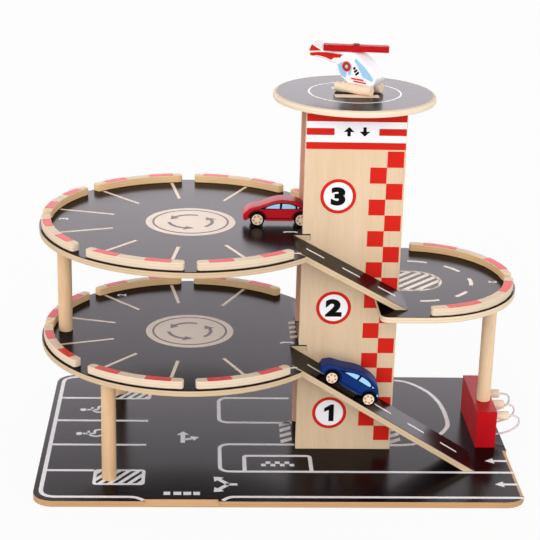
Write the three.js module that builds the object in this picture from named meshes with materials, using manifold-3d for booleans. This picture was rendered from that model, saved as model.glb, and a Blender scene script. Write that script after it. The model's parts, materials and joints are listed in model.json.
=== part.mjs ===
// Toy parking garage: plywood decks and ramps round a lift tower, on dowel columns and a base board.
// Millimetres, X to the right, Y to the back, Z up. The origin is the middle of the board's underside.

import * as THREE from 'three';
import { mergeVertices } from 'three/addons/utils/BufferGeometryUtils.js';
import Module from 'manifold-3d';

const wasm = await Module();
wasm.setup();

// Stock, fits and the fineness of round shapes
const plyThickness = 8;
const columnDiameter = 18;
const fitGap = 0.3;
const cutOverrun = 6;
const discSteps = 72;
const roundSteps = 24;
const smallSteps = 16;
const cornerSteps = 5;

// Heights of the driving surfaces above the table
const levelTwo = 152.5;
const levelThree = 300;
const sideLevel = 225;
const helipadLevel = 468.8;

// Base board with its two routed drive-on bevels
const boardLength = 600;
const boardDepth = 378;
const boardCornerRadius = 25;
const driveOnInset = 6;
const driveOnDrop = 5;
const frontDriveOnLeft = -165;
const frontDriveOnRight = -76;
const sideDriveOnFront = -172;
const sideDriveOnBack = -48;

// Lift tower
const towerLeft = 25;
const towerWidth = 122.5;
const towerDepth = 90;
const notchDepth = 10;
const towerDoorWidth = 58;
const towerDoorHeight = 74;

// Round decks on the left
const deckCentreX = -113;
const deckCentreY = 1;
const deckRadius = 188;
const rampEdgeX = 13.5;
const lipRadius = 25;

// Half-round deck on the right
const sideCentreX = 171;
const sideDeckRadius = 130;
const sideDeckLeft = 117;
const sideRampEdgeX = 160;
const sideCornerRadius = 10;

// Kerbs glued along the rims. Where each starts and ends is a share of a full turn round its deck's centre
const kerbWidth = 12;
const kerbHeight = 10;
const kerbSetBack = 2.5;
const kerbCornerRadius = 4;
const kerbSteps = 9;
const deckKerbShares = {
  kerb_west: [0.3903, 0.4958],
  kerb_north_west: [0.2617, 0.375],
  kerb_north: [0.1325, 0.2464],
  kerb_south_west: [-0.4958, -0.3833],
  kerb_south: [-0.3647, -0.2547],
  kerb_south_east: [-0.2425, -0.1333],
};
const towerKerbStartShare = 0.05;
const towerKerbGap = 20;
const sideKerbShares = {
  side_kerb_back: [0, 0.2361],
  side_kerb_front: [-0.2417, -0.0139],
};

// Columns under the decks: how far inside the rim they stand, and at which share of a full turn
const boardColumnInset = 26.2;
const boardColumnShare = 0.3523;
const upperColumnInset = 29.5;
const sideColumnInset = 27;

// Ramps
const rampWidth = 60;
const rampGapToTower = 2;
const upperRampFootX = 153;
const lowerRampFootX = 249;
const rearRampFootX = 22.5;

// Helipad disc on top of the tower
const helipadRadius = 100;
const helipadEdgeRound = 4;

// Lift
const guideWidth = 6;
const guideDepth = 5;
const guideSpacing = 78;
const guideTopGap = 20;
const liftRunningGap = 1;
const backPlateRise = 52;
const feltThickness = 1.7;
const backPlateThickness = guideDepth - feltThickness;
const feltWidth = 12;
const feltHeight = 34;
const feltInset = 4;
const knobRadius = 8;
const knobStemRadius = 4;
const knobStemLength = 6;
const knobHeadLength = 8;
const knobFromLeft = 14;
const knobHeight = 30;

// Fuel block with three nozzles on cords
const fuelBlockLeft = 260;
const fuelBlockWidth = 26;
const fuelBlockFront = -39;
const fuelBlockDepth = 119;
const fuelBlockHeight = 51;
const nozzleRadius = 5.8;
const nozzleReach = 20;
const nozzleInsert = 10;
const nozzleHeight = 35;
const nozzleSpacing = 35;
const cordRadius = 1.25;
const cordSides = 8;
const cordSteps = 13;
const cordOutletHeight = 8;
// The route from the nozzle's end back to the block: out from the block's face, sideways, up from the outlet
const cordRoute = [
  [20.3, 0, 27],
  [25, 0, 27],
  [30.5, -0.3, 25.6],
  [33.8, -0.8, 22.5],
  [34.6, -1.2, 18.5],
  [33.2, -1.4, 14],
  [30, -1.3, 10],
  [25.5, -1, 6.5],
  [20.2, -0.6, 3.8],
  [14.5, -0.3, 1.7],
  [9, 0, 0.6],
  [4, 0, 0],
  [0.3, 0, 0],
];

// Toy cars
const carNoseOverhang = 17.6;
const carTailOverhang = 13;
const carRoofHeight = 34;
const carWidth = 27;
const carEdgeRound = 2.5;
const edgeRoundSteps = 2;
const carOutlineSteps = 26;
const wheelBase = 54.8;
const wheelRadius = 9;
const wheelWidth = 6;
const wheelChamfer = 0.8;
const wheelStandOut = 1.5;
const wheelRecess = 1;
const wheelArchGap = 1.7;
const axleRadius = 2;
const redCarX = -2.8;
const redCarY = -2.5;
const blueCarOnRamp = 80;
const blueCarY = -88;

// Helicopter
const helicopterX = 86.25;
const helicopterY = 6;
const helicopterTurn = -35;
const helicopterLength = 97.3;
const helicopterWidth = 24;
const helicopterEdgeRound = 2;
const tailEndX = -62.3;
const cabinHeight = 41;
const cabinSkidSink = 3.3;
const skidRadius = 5.9;
const skidLength = 50;
const skidSpacing = 25;
const skidCentreX = 6;
const rotorLength = 80;
const rotorWidth = 11;
const rotorThickness = 7.5;
const rotorCornerRadius = 2.75;
const rotorHubRadius = 8;
const rotorTurn = 29;
const pinRadius = 2;
const pinHeadRadius = 4;
const pinHeadHeight = 1.5;
const pinDepth = 12;

// Outlines as shares: of the car's length from its nose and of its roof height,
// and of the helicopter's length from its tail's end and of its cabin's height
const carOutlineShares = [
  [0.014, 0.356],
  [0, 0.56],
  [0.057, 0.632],
  [0.148, 0.712],
  [0.238, 0.765],
  [0.341, 0.862],
  [0.457, 0.962],
  [0.567, 1],
  [0.73, 0.97],
  [0.848, 0.862],
  [0.918, 0.68],
  [0.972, 0.46],
  [0.995, 0.32],
];
const carSillShares = [[0.97, 0.25], [0.054, 0.25]];
const helicopterOutlineShares = [
  [0.918, 0],
  [0.99, 0.171],
  [1, 0.305],
  [0.943, 0.549],
  [0.856, 0.744],
  [0.743, 0.922],
  [0.676, 0.993],
  [0.609, 1],
  [0.25, 0.971],
  [0.054, 1.141],
  [0, 0.878],
  [0.029, 0.724],
  [0.109, 0.727],
  [0.214, 0.71],
  [0.341, 0.632],
  [0.424, 0.61],
  [0.452, 0.485],
  [0.494, 0.244],
  [0.589, 0.105],
  [0.64, 0],
];

// Places that follow from the sizes above
const levelOne = plyThickness;
const towerRight = towerLeft + towerWidth;
const towerFront = -towerDepth / 2;
const towerBack = towerDepth / 2;
const shaftBack = towerBack - plyThickness;
const shaftFront = -shaftBack;
const shaftRight = towerRight - plyThickness;
const towerTop = helipadLevel - plyThickness;
const rampNearTower = towerDepth / 2 + rampGapToTower;
const rampFarSide = rampNearTower + rampWidth;
const kerbOuterRadius = deckRadius - kerbSetBack;
const sideKerbOuterRadius = sideDeckRadius - kerbSetBack;
const towerKerbShares = [
  towerKerbStartShare,
  deckKerbShares.kerb_north[0] - towerKerbGap / (2 * Math.PI * kerbOuterRadius),
];
const wheelOuterFace = carWidth / 2 + wheelStandOut;
const cabinBottom = 2 * skidRadius - cabinSkidSink;

// Finishes
const colours = {
  laminate: [0x241a20, 0.35],
  ply: [0xdec4a0, 0.6],
  birch: [0xe8d2ae, 0.6],
  red: [0xc01c26, 0.45],
  blue: [0x1c3c96, 0.35],
  carRed: [0xb5182a, 0.35],
  white: [0xf2f0ee, 0.5],
  cord: [0xe9e4e4, 0.7],
  felt: [0x4a4a4a, 0.95],
};

function finish(name) {
  const [color, roughness] = colours[name];
  return new THREE.MeshStandardMaterial({ name, color, roughness, metalness: 0 });
}

const garage = new THREE.Group();

function addPiece(name, geometry, finishName, parent = garage) {
  const piece = new THREE.Mesh(geometry, finish(finishName));
  piece.name = name;
  parent.add(piece);
  return piece;
}

// Solids: a closed three.js shape goes in, is joined or cut, and comes back as a shape

function solid(geometry) {
  const bare = geometry.clone();
  bare.deleteAttribute('normal');
  bare.deleteAttribute('uv');
  const welded = mergeVertices(bare);
  return new wasm.Manifold(new wasm.Mesh({
    numProp: 3,
    vertProperties: new Float32Array(welded.attributes.position.array),
    triVerts: new Uint32Array(welded.index.array),
  }));
}

function shapeOf(body) {
  const mesh = body.getMesh();
  const geometry = new THREE.BufferGeometry();
  geometry.setAttribute('position', new THREE.BufferAttribute(mesh.vertProperties, 3));
  geometry.setIndex(new THREE.BufferAttribute(mesh.triVerts, 1));
  geometry.computeVertexNormals();
  return geometry;
}

// Plain shapes

function block([x0, x1], [y0, y1], [z0, z1]) {
  const geometry = new THREE.BoxGeometry(x1 - x0, y1 - y0, z1 - z0);
  return geometry.translate((x0 + x1) / 2, (y0 + y1) / 2, (z0 + z1) / 2);
}

function sheet(outline, thickness) {
  return new THREE.ExtrudeGeometry(new THREE.Shape(outline), { depth: thickness, bevelEnabled: false });
}

function plate(outline, top, thickness) {
  return sheet(outline, thickness).translate(0, 0, top - thickness);
}

// An outline drawn in X and Z, stood up and given a thickness along Y
function uprightPlate(outline, front, thickness) {
  return sheet(outline, thickness).rotateX(Math.PI / 2).translate(0, front + thickness, 0);
}

function turned(profile, steps) {
  return new THREE.LatheGeometry(profile.map(([r, y]) => new THREE.Vector2(r, y)), steps);
}

function dowel(radius, length, steps = roundSteps) {
  return new THREE.CylinderGeometry(radius, radius, length, steps);
}

// Outlines

function point(x, y) {
  return new THREE.Vector2(x, y);
}

function arc(centreX, centreY, radius, fromDegrees, toDegrees, steps) {
  const points = [];
  for (let i = 0; i <= steps; i += 1) {
    const angle = THREE.MathUtils.degToRad(fromDegrees + ((toDegrees - fromDegrees) * i) / steps);
    points.push(point(centreX + radius * Math.cos(angle), centreY + radius * Math.sin(angle)));
  }
  return points;
}

function circle(centreX, centreY, radius, steps) {
  return arc(centreX, centreY, radius, 0, 360, steps).slice(0, -1);
}

function rectangle([x0, x1], [y0, y1], radius) {
  return [
    ...arc(x1 - radius, y0 + radius, radius, -90, 0, cornerSteps),
    ...arc(x1 - radius, y1 - radius, radius, 0, 90, cornerSteps),
    ...arc(x0 + radius, y1 - radius, radius, 90, 180, cornerSteps),
    ...arc(x0 + radius, y0 + radius, radius, 180, 270, cornerSteps),
  ];
}

function smoothOutline(points, steps) {
  const curve = new THREE.SplineCurve(points.map(([x, y]) => point(x, y)));
  return curve.getPoints(steps);
}

// A bent strip between two radii with its four corners rounded off
function bentStrip(centreX, centreY, outer, inner, [from, to], corner, steps) {
  const along = (radius) => THREE.MathUtils.radToDeg(corner / radius);
  const at = (radius, degrees) => arc(centreX, centreY, radius, degrees, degrees, 1)[0];
  const rounded = (start, control, end) => {
    const bend = new THREE.QuadraticBezierCurve(start, control, end);
    return bend.getPoints(2).slice(1, 2);
  };
  const points = arc(centreX, centreY, outer, from + along(outer), to - along(outer), steps);
  points.push(...rounded(at(outer, to - along(outer)), at(outer, to), at(outer - corner, to)));
  points.push(at(outer - corner, to), at(inner + corner, to));
  points.push(...rounded(at(inner + corner, to), at(inner, to), at(inner, to - along(inner))));
  points.push(...arc(centreX, centreY, inner, to - along(inner), from + along(inner), steps));
  points.push(...rounded(at(inner, from + along(inner)), at(inner, from), at(inner + corner, from)));
  points.push(at(inner + corner, from), at(outer - corner, from));
  points.push(...rounded(at(outer - corner, from), at(outer, from), at(outer, from + along(outer))));
  return points;
}

// Base board

function addBaseBoard() {
  const halfLength = boardLength / 2;
  const halfDepth = boardDepth / 2;
  const outline = rectangle([-halfLength, halfLength], [-halfDepth, halfDepth], boardCornerRadius);
  const frontBevel = new THREE.Shape([
    point(-halfDepth + driveOnInset, levelOne),
    point(-halfDepth, levelOne - driveOnDrop),
    point(-halfDepth - cutOverrun, levelOne - driveOnDrop),
    point(-halfDepth - cutOverrun, levelOne + cutOverrun),
    point(-halfDepth + driveOnInset, levelOne + cutOverrun),
  ]);
  const frontCut = new THREE.ExtrudeGeometry(frontBevel, {
    depth: frontDriveOnRight - frontDriveOnLeft,
    bevelEnabled: false,
  });
  frontCut.rotateX(Math.PI / 2).rotateZ(Math.PI / 2).translate(frontDriveOnLeft, 0, 0);
  const sideBevel = [
    point(halfLength - driveOnInset, levelOne),
    point(halfLength, levelOne - driveOnDrop),
    point(halfLength + cutOverrun, levelOne - driveOnDrop),
    point(halfLength + cutOverrun, levelOne + cutOverrun),
    point(halfLength - driveOnInset, levelOne + cutOverrun),
  ];
  const sideCut = uprightPlate(sideBevel, sideDriveOnFront, sideDriveOnBack - sideDriveOnFront);
  const blank = solid(plate(outline, levelOne, plyThickness));
  const board = blank.subtract(solid(frontCut)).subtract(solid(sideCut));
  addPiece('base_board', shapeOf(board), 'laminate');
}

// Lift tower: front, rear and right panels, open on the left

function notch(side, top) {
  const edge = side === 'left' ? [towerLeft - cutOverrun, towerLeft + notchDepth]
    : [towerRight - notchDepth, towerRight + cutOverrun];
  const through = [towerFront - cutOverrun, towerBack + cutOverrun];
  return solid(block(edge, through, [top - plyThickness, top + fitGap]));
}

function towerPanel(front) {
  const outline = [
    point(towerLeft, levelOne),
    point(towerRight, levelOne),
    point(towerRight, towerTop),
    point(towerLeft, towerTop),
  ];
  const blank = solid(uprightPlate(outline, front, plyThickness));
  return blank
    .subtract(notch('left', levelTwo))
    .subtract(notch('left', levelThree))
    .subtract(notch('right', sideLevel));
}

function addTower() {
  addPiece('tower_front_panel', shapeOf(towerPanel(towerFront)), 'ply');
  addPiece('tower_rear_panel', shapeOf(towerPanel(shaftBack)), 'ply');
  const side = solid(block([shaftRight, towerRight], [shaftFront, shaftBack], [levelOne, towerTop]));
  const arch = [
    point(towerDoorWidth / 2, levelOne - cutOverrun),
    ...arc(0, levelOne + towerDoorHeight - towerDoorWidth / 2, towerDoorWidth / 2, 0, 180, smallSteps),
    point(-towerDoorWidth / 2, levelOne - cutOverrun),
  ];
  const doorDepth = plyThickness + 2 * cutOverrun;
  const door = uprightPlate(arch, 0, doorDepth).rotateZ(Math.PI / 2).translate(towerRight + cutOverrun, 0, 0);
  addPiece('tower_right_panel', shapeOf(side.subtract(solid(door))), 'ply');
}

// Decks: a disc that goes round the tower, with ears in its panels' notches

function towerCut(top, earEnd, shaftSide) {
  const depth = [top - plyThickness - cutOverrun, top + cutOverrun];
  const inner = solid(block(shaftSide, [shaftFront, shaftBack], depth));
  const outer = solid(block(earEnd, [towerFront - fitGap, towerBack + fitGap], depth));
  return inner.add(outer);
}

function deckSolid(top) {
  const farRight = deckCentreX + deckRadius + cutOverrun + lipRadius;
  const disc = solid(plate(circle(deckCentreX, deckCentreY, deckRadius, discSteps), top, plyThickness));
  const openingDepth = [-rampFarSide - lipRadius, towerFront + lipRadius];
  const rampOpening = rectangle([rampEdgeX, farRight], openingDepth, lipRadius);
  const opening = solid(plate(rampOpening, top + cutOverrun, plyThickness + 2 * cutOverrun));
  const neck = solid(block([rampEdgeX - cutOverrun, towerLeft + notchDepth - fitGap],
    [towerFront, shaftFront + lipRadius], [top - plyThickness, top]));
  const tower = towerCut(top, [towerLeft + notchDepth - fitGap, farRight], [towerLeft, farRight]);
  return disc.subtract(opening).add(neck).subtract(tower);
}

function addDecks() {
  addPiece('deck_two', shapeOf(deckSolid(levelTwo)), 'laminate');
  addPiece('deck_three', shapeOf(deckSolid(levelThree)), 'laminate');
}

function addSideDeck() {
  const cornerX = sideDeckLeft + sideCornerRadius;
  const cornerY = sideCornerRadius - sideDeckRadius;
  const outline = [
    ...arc(sideCentreX, 0, sideDeckRadius, -90, 90, discSteps / 2),
    point(sideDeckLeft, sideDeckRadius),
    ...arc(cornerX, cornerY, sideCornerRadius, 180, 270, cornerSteps),
  ];
  const depth = [sideLevel - plyThickness - cutOverrun, sideLevel + cutOverrun];
  const earStart = towerRight - notchDepth + fitGap;
  const farLeft = sideDeckLeft - cutOverrun;
  const tower = towerCut(sideLevel, [farLeft, earStart], [farLeft, towerRight]);
  const rampOpening = block([farLeft, sideRampEdgeX], [towerBack, sideDeckRadius + cutOverrun], depth);
  const blank = solid(plate(outline, sideLevel, plyThickness));
  const deck = blank.subtract(tower).subtract(solid(rampOpening));
  addPiece('side_deck', shapeOf(deck), 'laminate');
}

// Kerbs

function addKerb(name, centreX, centreY, outer, shares, top) {
  const span = shares.map((share) => share * 360);
  const outline = bentStrip(centreX, centreY, outer, outer - kerbWidth, span, kerbCornerRadius, kerbSteps);
  addPiece(name, plate(outline, top + kerbHeight, kerbHeight), 'birch');
}

function addKerbs() {
  for (const [deck, top] of [['two', levelTwo], ['three', levelThree]]) {
    for (const [name, shares] of Object.entries(deckKerbShares)) {
      addKerb(`deck_${deck}_${name}`, deckCentreX, deckCentreY, kerbOuterRadius, shares, top);
    }
  }
  addKerb('deck_three_kerb_tower', deckCentreX, deckCentreY, kerbOuterRadius, towerKerbShares, levelThree);
  for (const [name, shares] of Object.entries(sideKerbShares)) {
    addKerb(name, sideCentreX, 0, sideKerbOuterRadius, shares, sideLevel);
  }
}

// Columns

function addColumn(name, x, y, bottom, top) {
  const column = dowel(columnDiameter / 2, top - bottom).rotateX(Math.PI / 2);
  addPiece(name, column.translate(x, y, (bottom + top) / 2), 'birch');
}

function addColumns() {
  const deckTwoUnderside = levelTwo - plyThickness;
  const fromCentre = deckRadius - boardColumnInset;
  const turn = 2 * Math.PI * boardColumnShare;
  const x = deckCentreX + fromCentre * Math.cos(turn);
  const y = fromCentre * Math.sin(turn);
  const upperX = deckCentreX - deckRadius + upperColumnInset;
  const sideX = sideCentreX + sideDeckRadius - sideColumnInset;
  addColumn('column_front_left', x, -y, levelOne, deckTwoUnderside);
  addColumn('column_back_left', x, y, levelOne, deckTwoUnderside);
  addColumn('column_upper_left', upperX, deckCentreY, levelTwo, levelThree - plyThickness);
  addColumn('column_right', sideX, 0, levelOne + fuelBlockHeight, sideLevel - plyThickness);
}

// Ramps: a board with its head cut upright at the deck's edge and its foot cut flat on the level below

function rampOutline(headX, headLevel, footX, footLevel) {
  const slope = Math.atan2(headLevel - footLevel, Math.abs(footX - headX));
  const towardsHead = Math.sign(headX - footX);
  return [
    point(headX, headLevel),
    point(footX, footLevel),
    point(footX + (towardsHead * plyThickness) / Math.sin(slope), footLevel),
    point(headX, headLevel - plyThickness / Math.cos(slope)),
  ];
}

function addRamp(name, side, ...outline) {
  const front = side === 'front' ? -rampFarSide : rampNearTower;
  const ramp = uprightPlate(rampOutline(...outline), front, rampWidth);
  addPiece(name, ramp, 'laminate');
}

function addRamps() {
  const deckHeadX = rampEdgeX + fitGap;
  addRamp('upper_ramp', 'front', deckHeadX, levelThree, upperRampFootX, sideLevel);
  addRamp('lower_ramp', 'front', deckHeadX, levelTwo, lowerRampFootX, levelOne);
  addRamp('rear_ramp', 'back', sideRampEdgeX - fitGap, sideLevel, rearRampFootX, levelTwo);
}

// Helipad: a turned disc with a softened rim

function addHelipad() {
  const rim = [];
  const top = plyThickness - helipadEdgeRound;
  for (const { x, y } of arc(helipadRadius - helipadEdgeRound, top, helipadEdgeRound, 0, 90, cornerSteps)) {
    rim.push([x, y]);
  }
  const profile = [[0, 0], [helipadRadius, 0], ...rim, [0, plyThickness]];
  const disc = turned(profile, discSteps).rotateX(Math.PI / 2);
  addPiece('helipad', disc.translate(towerLeft + towerWidth / 2, 0, towerTop), 'laminate');
}

// Lift: a floor with an upright back plate that slides between two guides on the rear panel

function addLift() {
  const shaftMiddle = (towerLeft + shaftRight) / 2;
  const guideInner = guideSpacing / 2 - guideWidth / 2;
  const floorBottom = levelThree - plyThickness;
  const floorBack = shaftBack - guideDepth - fitGap;
  for (const [name, side] of [['lift_guide_left', -1], ['lift_guide_right', 1]]) {
    const middle = shaftMiddle + (side * guideSpacing) / 2;
    addPiece(name, block([middle - guideWidth / 2, middle + guideWidth / 2],
      [shaftBack - guideDepth, shaftBack], [levelOne, towerTop - guideTopGap]), 'birch');
  }
  addPiece('lift_floor', block([towerLeft + liftRunningGap, shaftRight - liftRunningGap],
    [shaftFront + liftRunningGap, floorBack], [floorBottom, levelThree]), 'ply');
  const plateSide = guideInner - fitGap;
  addPiece('lift_back_plate', block([shaftMiddle - plateSide, shaftMiddle + plateSide],
    [floorBack, floorBack + backPlateThickness], [floorBottom, levelThree + backPlateRise]), 'ply');
  const feltFront = floorBack + backPlateThickness;
  for (const [name, side] of [['lift_felt_left', -1], ['lift_felt_right', 1]]) {
    const middle = shaftMiddle + side * (plateSide - feltInset - feltWidth / 2);
    addPiece(name, block([middle - feltWidth / 2, middle + feltWidth / 2],
      [feltFront, feltFront + feltThickness], [levelThree, levelThree + feltHeight]), 'felt');
  }
  const knobLength = knobStemLength + knobHeadLength;
  const knobEdge = knobRadius - knobStemRadius / 2;
  const profile = [
    [0, 0],
    [knobStemRadius, 0],
    [knobStemRadius, knobStemLength],
    [knobEdge, knobStemLength],
    [knobRadius, knobStemLength + knobHeadLength / 2],
    [knobEdge, knobLength],
    [0, knobLength],
  ];
  const knob = turned(profile, smallSteps).rotateZ(Math.PI);
  const knobX = shaftMiddle - plateSide + knobFromLeft;
  addPiece('lift_knob', knob.translate(knobX, floorBack, levelThree + knobHeight), 'birch');
}

// Fuel block, its nozzles and their cords

function alongX(geometry) {
  return geometry.rotateZ(-Math.PI / 2);
}

function addFuelBlock() {
  const right = fuelBlockLeft + fuelBlockWidth;
  const middle = fuelBlockFront + fuelBlockDepth / 2;
  const height = levelOne + nozzleHeight;
  let body = solid(block([fuelBlockLeft, right], [fuelBlockFront, fuelBlockFront + fuelBlockDepth],
    [levelOne, levelOne + fuelBlockHeight]));
  for (const [place, step] of [['front', -1], ['middle', 0], ['back', 1]]) {
    const y = middle + step * nozzleSpacing;
    const socketDepth = nozzleInsert + fitGap;
    const socket = alongX(dowel(nozzleRadius + fitGap, socketDepth + cutOverrun));
    const socketMiddle = right - socketDepth + (socketDepth + cutOverrun) / 2;
    body = body.subtract(solid(socket.translate(socketMiddle, y, height)));
    const length = nozzleInsert + nozzleReach;
    const nozzle = alongX(dowel(nozzleRadius, length));
    addPiece(`fuel_nozzle_${place}`, nozzle.translate(right - nozzleInsert + length / 2, y, height), 'birch');
    addCord(`fuel_cord_${place}`, y, right);
  }
  addPiece('fuel_block', shapeOf(body), 'red');
}

// A cord leaves the nozzle's end, bends down in a loop and comes back low into the block
function addCord(name, y, blockFace) {
  const outlet = levelOne + cordOutletHeight;
  const place = ([out, sway, up]) => new THREE.Vector3(blockFace + out, y + sway, outlet + up);
  const path = new THREE.CatmullRomCurve3(cordRoute.map(place));
  const section = new THREE.Shape(circle(0, 0, cordRadius, cordSides));
  const settings = { steps: cordSteps, extrudePath: path, bevelEnabled: false };
  addPiece(name, new THREE.ExtrudeGeometry(section, settings), 'cord');
}

// Toy car: a cut side outline with softened edges, wheel pockets and two turned wheelsets.
// Its own frame has X along the car with the nose at the low end, and Z up from the road.

function carOutline() {
  const nose = -wheelBase / 2 - carNoseOverhang;
  const length = carNoseOverhang + wheelBase + carTailOverhang;
  const place = ([along, up]) => [nose + along * length, up * carRoofHeight];
  const upper = smoothOutline(carOutlineShares.map(place), carOutlineSteps);
  const sill = carSillShares.map((share) => point(...place(share)));
  return [...upper, ...sill].reverse();
}

function wheelset() {
  const inner = wheelOuterFace - wheelWidth;
  const half = [
    [axleRadius, inner],
    [wheelRadius - wheelChamfer, inner],
    [wheelRadius, inner + wheelChamfer],
    [wheelRadius, wheelOuterFace - wheelChamfer],
    [wheelRadius - wheelChamfer, wheelOuterFace],
    [0, wheelOuterFace],
  ];
  const mirrored = half.map(([r, y]) => [r, -y]).reverse();
  return turned([...mirrored, ...half], roundSteps);
}

function addCar(name, finishName, placed) {
  const car = new THREE.Group();
  const flat = carWidth - 2 * carEdgeRound;
  const blank = new THREE.ExtrudeGeometry(new THREE.Shape(carOutline()), {
    depth: flat,
    bevelThickness: carEdgeRound,
    bevelSize: carEdgeRound,
    bevelOffset: -carEdgeRound,
    bevelSegments: edgeRoundSteps,
  });
  let body = solid(blank.rotateX(Math.PI / 2).translate(0, flat / 2, 0));
  const pocketDepth = wheelWidth + wheelRecess - wheelStandOut;
  for (const [end, x] of [['front', -wheelBase / 2], ['rear', wheelBase / 2]]) {
    for (const side of [-1, 1]) {
      const pocket = dowel(wheelRadius + wheelArchGap, pocketDepth + cutOverrun);
      const y = side * (carWidth / 2 - pocketDepth + (pocketDepth + cutOverrun) / 2);
      body = body.subtract(solid(pocket.translate(x, y, wheelRadius)));
    }
    const bore = dowel(axleRadius + fitGap, carWidth + cutOverrun, smallSteps);
    body = body.subtract(solid(bore.translate(x, 0, wheelRadius)));
    addPiece(`${name}_${end}_wheels`, wheelset().translate(x, 0, wheelRadius), 'birch', car);
  }
  addPiece(`${name}_body`, shapeOf(body), finishName, car);
  placed(car);
  garage.add(car);
}

function addCars() {
  addCar('red_car', 'carRed', (car) => {
    car.position.set(redCarX, redCarY, levelThree + fitGap);
  });
  const run = lowerRampFootX - rampEdgeX;
  const slope = Math.atan2(levelTwo - levelOne, run);
  addCar('blue_car', 'blue', (car) => {
    car.rotation.y = slope;
    const alongRamp = blueCarOnRamp * Math.cos(slope) - fitGap * Math.sin(-slope);
    const drop = blueCarOnRamp * Math.sin(slope) - fitGap * Math.cos(slope);
    car.position.set(rampEdgeX + alongRamp, blueCarY, levelTwo - drop);
  });
}

// Helicopter: cabin and tail cut from one block, two dowel skids and a rotor on a pin.
// Its own frame has the nose towards +X, the mast on the Z axis and the pad at Z = 0.

function helicopterOutline() {
  return helicopterOutlineShares.map(([along, up]) => point(tailEndX + along * helicopterLength,
    cabinBottom + up * cabinHeight));
}

function addHelicopter() {
  const helicopter = new THREE.Group();
  const flat = helicopterWidth - 2 * helicopterEdgeRound;
  const blank = new THREE.ExtrudeGeometry(new THREE.Shape(helicopterOutline()), {
    depth: flat,
    bevelThickness: helicopterEdgeRound,
    bevelSize: helicopterEdgeRound,
    bevelOffset: -helicopterEdgeRound,
    bevelSegments: edgeRoundSteps,
  });
  let body = solid(blank.rotateX(Math.PI / 2).translate(0, flat / 2, 0));
  for (const [name, side] of [['skid_left', 1], ['skid_right', -1]]) {
    const y = (side * skidSpacing) / 2;
    const groove = alongX(dowel(skidRadius + fitGap, skidLength + cutOverrun));
    body = body.subtract(solid(groove.translate(skidCentreX, y, skidRadius + fitGap)));
    const skid = alongX(dowel(skidRadius, skidLength));
    addPiece(`helicopter_${name}`, skid.translate(skidCentreX, y, skidRadius + fitGap), 'birch', helicopter);
  }
  const roof = cabinBottom + cabinHeight;
  const bore = dowel(pinRadius + fitGap, pinDepth + cutOverrun, smallSteps).rotateX(Math.PI / 2);
  body = body.subtract(solid(bore.translate(0, 0, roof - pinDepth + (pinDepth + cutOverrun) / 2)));
  addPiece('helicopter_body', shapeOf(body), 'white', helicopter);
  addRotor(helicopter, roof);
  helicopter.position.set(helicopterX, helicopterY, helipadLevel);
  helicopter.rotation.z = THREE.MathUtils.degToRad(helicopterTurn);
  garage.add(helicopter);
}

function addRotor(helicopter, roof) {
  const bottom = roof + fitGap;
  const top = bottom + rotorThickness;
  const halfLength = rotorLength / 2;
  const halfWidth = rotorWidth / 2;
  const bar = rectangle([-halfLength, halfLength], [-halfWidth, halfWidth], rotorCornerRadius);
  const hub = circle(0, 0, rotorHubRadius, roundSteps);
  const hole = circle(0, 0, pinRadius + fitGap, smallSteps);
  const rotor = solid(plate(bar, top, rotorThickness))
    .add(solid(plate(hub, top, rotorThickness)))
    .subtract(solid(plate(hole, top + cutOverrun, rotorThickness + 2 * cutOverrun)));
  const piece = addPiece('helicopter_rotor', shapeOf(rotor), 'red', helicopter);
  piece.rotation.z = THREE.MathUtils.degToRad(rotorTurn);
  const profile = [
    [0, roof - pinDepth + fitGap],
    [pinRadius, roof - pinDepth + fitGap],
    [pinRadius, top + fitGap],
    [pinHeadRadius, top + fitGap],
    [pinHeadRadius, top + fitGap + pinHeadHeight],
    [0, top + fitGap + pinHeadHeight],
  ];
  addPiece('helicopter_rotor_pin', turned(profile, smallSteps).rotateX(Math.PI / 2), 'birch', helicopter);
}

addBaseBoard();
addTower();
addDecks();
addSideDeck();
addKerbs();
addColumns();
addRamps();
addHelipad();
addLift();
addFuelBlock();
addCars();
addHelicopter();

export default garage;
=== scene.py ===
# %% [markdown]
# # A toy parking garage with a lift
# The real toy is plywood and dowels: round decks with a dark printed face hang on a square lift tower,
# ramps join them, and two cars, a helicopter and three fuel nozzles on cords go with it.
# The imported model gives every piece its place. This script keeps those places and dresses the pieces:
# rounded edges, wood grain, ink, paint, wheels and the soft light of a studio.

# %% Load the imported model
import json
import math

import bmesh
import bpy
from mathutils import Matrix, Vector


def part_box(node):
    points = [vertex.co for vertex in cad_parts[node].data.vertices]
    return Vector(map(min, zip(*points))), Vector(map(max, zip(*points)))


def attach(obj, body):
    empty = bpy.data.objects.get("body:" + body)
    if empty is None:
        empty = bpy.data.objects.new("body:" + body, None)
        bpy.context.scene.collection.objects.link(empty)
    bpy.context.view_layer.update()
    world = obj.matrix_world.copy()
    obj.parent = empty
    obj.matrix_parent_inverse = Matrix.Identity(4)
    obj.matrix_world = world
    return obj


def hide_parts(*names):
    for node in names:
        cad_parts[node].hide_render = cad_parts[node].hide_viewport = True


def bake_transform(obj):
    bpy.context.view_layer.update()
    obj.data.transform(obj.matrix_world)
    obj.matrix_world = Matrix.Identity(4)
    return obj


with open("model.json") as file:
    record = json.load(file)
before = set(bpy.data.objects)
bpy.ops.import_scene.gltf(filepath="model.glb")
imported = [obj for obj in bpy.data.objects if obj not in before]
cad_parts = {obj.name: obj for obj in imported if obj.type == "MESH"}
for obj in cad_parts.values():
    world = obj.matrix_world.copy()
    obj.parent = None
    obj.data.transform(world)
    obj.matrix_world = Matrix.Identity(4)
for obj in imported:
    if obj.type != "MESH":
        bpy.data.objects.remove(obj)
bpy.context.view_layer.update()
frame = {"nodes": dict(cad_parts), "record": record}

MM = 0.001
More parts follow.
